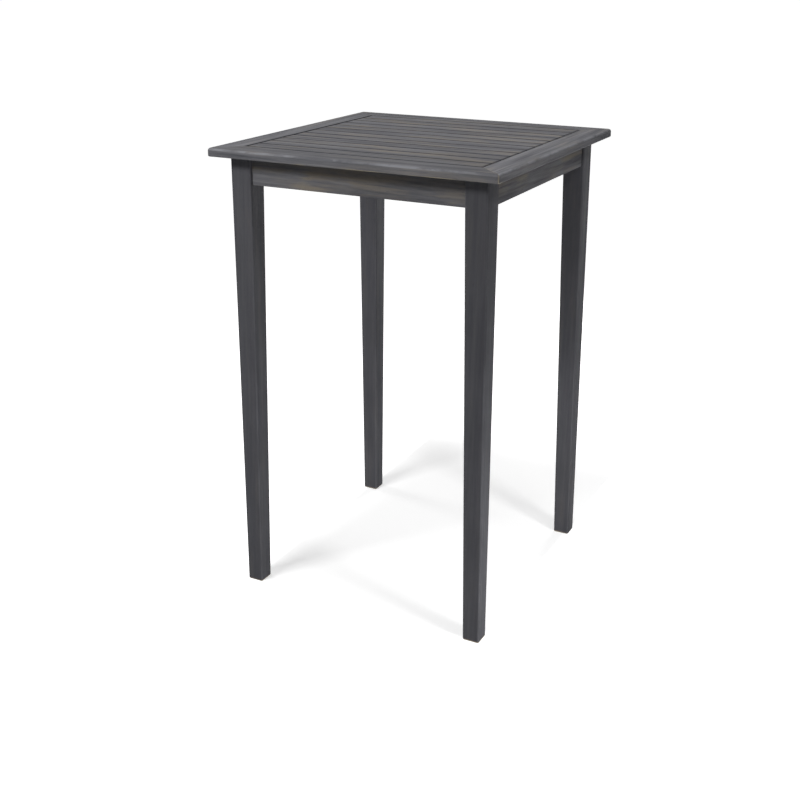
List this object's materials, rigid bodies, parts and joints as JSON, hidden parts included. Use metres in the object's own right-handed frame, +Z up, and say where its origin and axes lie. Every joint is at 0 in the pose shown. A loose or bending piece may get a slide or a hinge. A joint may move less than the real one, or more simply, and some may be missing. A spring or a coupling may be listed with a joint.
{
  "type": "outdoor bar table",
  "caption": "Tall square outdoor bar table of grey-stained timber: slatted top in a mitred frame with rounded edges, an apron below it and tapered square legs.",
  "frame": {"origin": "on the floor, below the middle of the top", "axes": "+X along the front edge to the right, parallel to the slats; +Y from front to back; +Z up"},
  "size_m": [0.6604, 0.6604, 1.016],
  "materials": {
    "stained_timber": "grey stain, worn to tan along the grain",
    "dowel_timber": "bare",
    "zinc_steel": "zinc plated"
  },
  "bodies": {
    "root": {"apron_back": "stained_timber", "apron_front": "stained_timber", "apron_left": "stained_timber", "apron_right": "stained_timber", "batten_screws": "zinc_steel", "bolt_spring_washers": "zinc_steel", "bolt_washers": "zinc_steel", "corner_block_back_left": "stained_timber", "corner_block_back_right": "stained_timber", "corner_block_front_left": "stained_timber", "corner_block_front_right": "stained_timber", "corner_block_screws": "zinc_steel", "cross_batten": "stained_timber", "leg_back_left": "stained_timber", "leg_back_right": "stained_timber", "leg_bolts": "zinc_steel", "leg_front_left": "stained_timber", "leg_front_right": "stained_timber", "leg_inserts": "zinc_steel", "mitre_dowels": "dowel_timber", "rail_back": "stained_timber", "rail_front": "stained_timber", "rail_left": "stained_timber", "rail_right": "stained_timber", "slat_01": "stained_timber", "slat_02": "stained_timber", "slat_03": "stained_timber", "slat_04": "stained_timber", "slat_05": "stained_timber", "slat_06": "stained_timber", "slat_07": "stained_timber", "slat_08": "stained_timber", "slat_09": "stained_timber", "slat_10": "stained_timber", "slat_11": "stained_timber", "slat_12": "stained_timber", "top_screws": "zinc_steel"}
  },
  "joints": []
}
